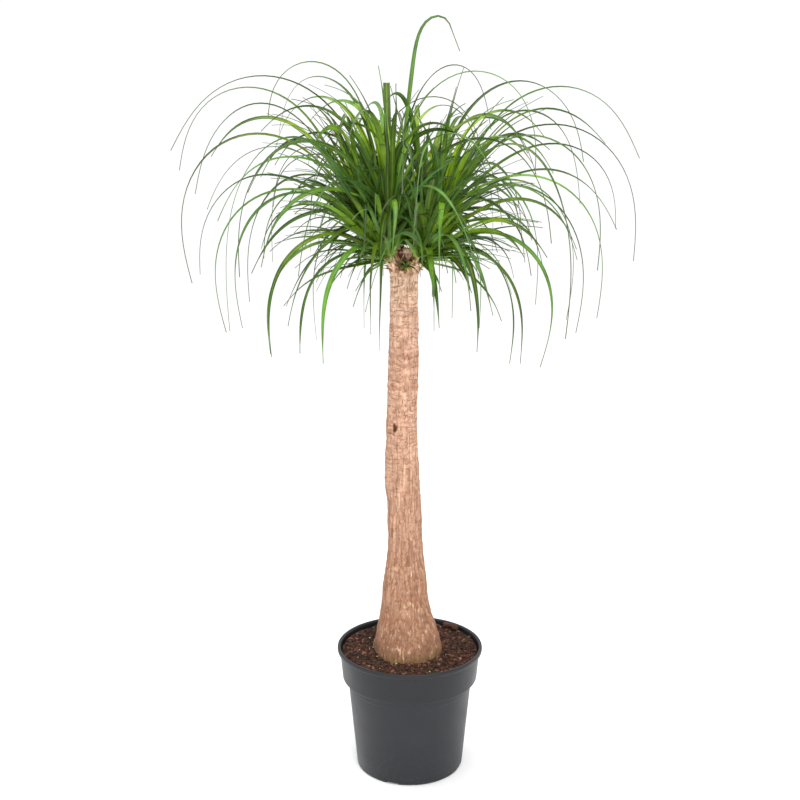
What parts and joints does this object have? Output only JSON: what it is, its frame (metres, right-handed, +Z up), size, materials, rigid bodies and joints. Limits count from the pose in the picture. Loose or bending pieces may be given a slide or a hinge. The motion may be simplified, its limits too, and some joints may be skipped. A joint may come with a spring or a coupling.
{
  "type": "potted ponytail palm",
  "caption": "Ponytail palm on a bare corky trunk with a swollen foot and a mop of long arching leaves, growing in a round plastic nursery pot.",
  "frame": {"origin": "on the floor, under the middle of the pot, which is also the middle of the whole plant's box to within a few millimetres", "axes": "+Z up, along the trunk; -Y is the front of the plant; +X is to the right seen from the front"},
  "size_m": [0.7376, 0.5788, 1.2109],
  "materials": {
    "pot_plastic": "moulded polypropylene, satin anthracite",
    "soil": "loose bark and peat potting mix, damp and matte",
    "bark": "dry corky bark with vertical fissures, matte",
    "young_leaf": "fresh yellow-green leaf, satin",
    "leaf": "mature green leaf, satin with a waxy sheen"
  },
  "bodies": {
    "root": {"pot": "pot_plastic", "soil": "soil", "trunk": "bark", "heart_main": "young_leaf", "heart_left": "young_leaf", "heart_low_left": "young_leaf", "heart_right": "young_leaf", "heart_low_right": "young_leaf", "heart_back_left": "young_leaf", "heart_back_right": "young_leaf", "leaf_01": "leaf", "leaf_02": "leaf", "leaf_03": "leaf", "leaf_04": "leaf", "leaf_05": "leaf", "leaf_06": "leaf", "leaf_07": "leaf", "leaf_08": "leaf", "leaf_09": "leaf", "leaf_10": "leaf", "leaf_11": "leaf", "leaf_12": "leaf", "leaf_13": "leaf", "leaf_14": "leaf", "leaf_15": "leaf", "leaf_16": "leaf", "leaf_17": "leaf", "leaf_18": "leaf", "leaf_19": "leaf", "leaf_20": "leaf", "leaf_21": "leaf", "leaf_22": "leaf", "leaf_23": "leaf", "leaf_24": "leaf", "leaf_25": "leaf", "leaf_26": "leaf", "leaf_27": "leaf", "leaf_28": "leaf", "leaf_29": "leaf", "leaf_30": "leaf", "leaf_31": "leaf", "leaf_32": "leaf", "leaf_33": "leaf", "leaf_34": "leaf", "leaf_35": "leaf", "leaf_36": "leaf", "leaf_37": "leaf", "leaf_38": "leaf", "leaf_39": "leaf", "leaf_40": "leaf", "leaf_41": "leaf", "leaf_42": "leaf", "leaf_43": "leaf", "leaf_44": "leaf", "leaf_45": "leaf", "leaf_46": "leaf", "cut_leaf_1": "leaf", "cut_leaf_2": "leaf", "cut_leaf_3": "leaf"}
  },
  "joints": []
}
